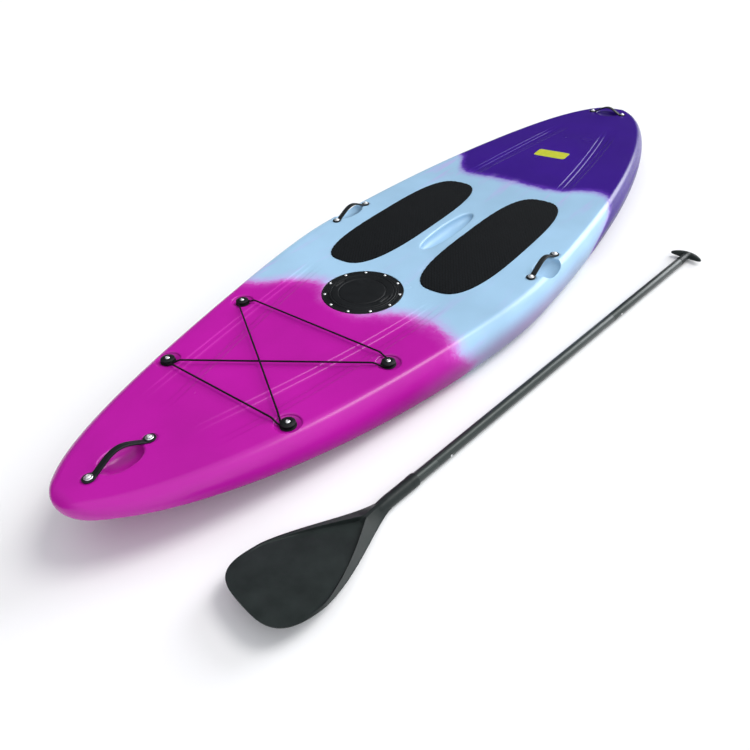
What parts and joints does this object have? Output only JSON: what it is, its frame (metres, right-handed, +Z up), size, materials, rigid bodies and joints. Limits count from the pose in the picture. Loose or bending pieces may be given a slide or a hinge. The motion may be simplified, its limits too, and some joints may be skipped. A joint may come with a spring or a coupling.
{
  "type": "hybrid paddle board kayak",
  "caption": "Moulded sit-on or stand-up paddle board with foot pads, a round deck hatch, carry handles, deck bungee and a take-apart paddle.",
  "frame": {"origin": "on the floor, on the flat of the hull's underside, under the middle of the hull's length", "axes": "+X towards the bow, +Y to port, +Z up"},
  "size_m": [3.1979, 1.2182, 0.1992],
  "materials": {
    "hull": "soft gloss",
    "foam": "matt ribbed",
    "black": "satin",
    "rubber": "matt",
    "steel": "polished",
    "cord": "braided",
    "paddle": "satin",
    "shaft": "dark anodised"
  },
  "bodies": {
    "hull": {"hull": "hull", "port_foot_pad": "foam", "starboard_foot_pad": "foam", "hatch_gasket": "rubber", "hatch_ring": "black", "hatch_screw_01": "steel", "hatch_screw_02": "steel", "hatch_screw_03": "steel", "hatch_screw_04": "steel", "hatch_screw_05": "steel", "hatch_screw_06": "steel", "hatch_screw_07": "steel", "hatch_screw_08": "steel", "hatch_screw_09": "steel", "hatch_screw_10": "steel", "hatch_screw_11": "steel", "deck_button_port_front": "black", "button_screw_port_front": "steel", "deck_button_port_rear": "black", "button_screw_port_rear": "steel", "deck_button_starboard_front": "black", "button_screw_starboard_front": "steel", "deck_button_starboard_rear": "black", "button_screw_starboard_rear": "steel", "deck_bungee": "cord", "bow_handle": "black", "bow_handle_washer_a": "steel", "bow_handle_screw_a": "steel", "bow_handle_washer_b": "steel", "bow_handle_screw_b": "steel", "port_handle": "black", "port_handle_washer_a": "steel", "port_handle_screw_a": "steel", "port_handle_washer_b": "steel", "port_handle_screw_b": "steel", "starboard_handle": "black", "starboard_handle_washer_a": "steel", "starboard_handle_screw_a": "steel", "starboard_handle_washer_b": "steel", "starboard_handle_screw_b": "steel", "stern_handle": "black", "stern_handle_washer_a": "steel", "stern_handle_screw_a": "steel", "stern_handle_washer_b": "steel", "stern_handle_screw_b": "steel"},
    "hatch_seal": {"hatch_lid_seal": "rubber"},
    "hatch_lid": {"hatch_lid": "black"},
    "drain_seal": {"drain_seal": "rubber"},
    "drain_plug": {"drain_plug": "black"},
    "paddle": {"paddle_blade": "paddle", "paddle_lower_tube": "shaft", "paddle_lower_spigot": "shaft", "paddle_middle_tube": "shaft", "paddle_upper_spigot": "shaft", "paddle_upper_tube": "shaft", "paddle_t_grip": "paddle"},
    "lower_spring_button": {"paddle_lower_spring_button": "steel"},
    "upper_spring_button": {"paddle_upper_spring_button": "steel"}
  },
  "joints": [
    {"name": "hatch_lift", "type": "slide", "parent": "hull", "child": "hatch_seal", "axis": [0, 0, 1], "range_m": [0, 0.06]},
    {"name": "hatch_turn", "type": "hinge", "parent": "hatch_seal", "child": "hatch_lid", "pos_m": [0.578, 0, 0.15], "axis": [0, 0, 1], "range_deg": [0, 90]},
    {"name": "drain_out", "type": "slide", "parent": "hull", "child": "drain_seal", "axis": [-1, 0, 0], "range_m": [0, 0.016]},
    {"name": "drain_turn", "type": "hinge", "parent": "drain_seal", "child": "drain_plug", "pos_m": [-1.57, 0, 0.115], "axis": [-1, 0, 0], "range_deg": [0, 1800]},
    {"name": "paddle_lift", "type": "slide", "parent": "hull", "child": "paddle", "axis": [0, 0, 1], "range_m": [0, 0.3]},
    {"name": "lower_button_press", "type": "slide", "parent": "paddle", "child": "lower_spring_button", "axis": [-0.1502, -0.9887, 0], "range_m": [0, 0.002], "stiffness_N_per_m": 2500, "springref_m": -0.001},
    {"name": "upper_button_press", "type": "slide", "parent": "paddle", "child": "upper_spring_button", "axis": [-0.1502, -0.9887, 0], "range_m": [0, 0.002], "stiffness_N_per_m": 2500, "springref_m": -0.001}
  ],
  "couplings": [
    {"joint": "drain_out", "follows": "drain_turn", "m_per_rad": 0.000477}
  ]
}
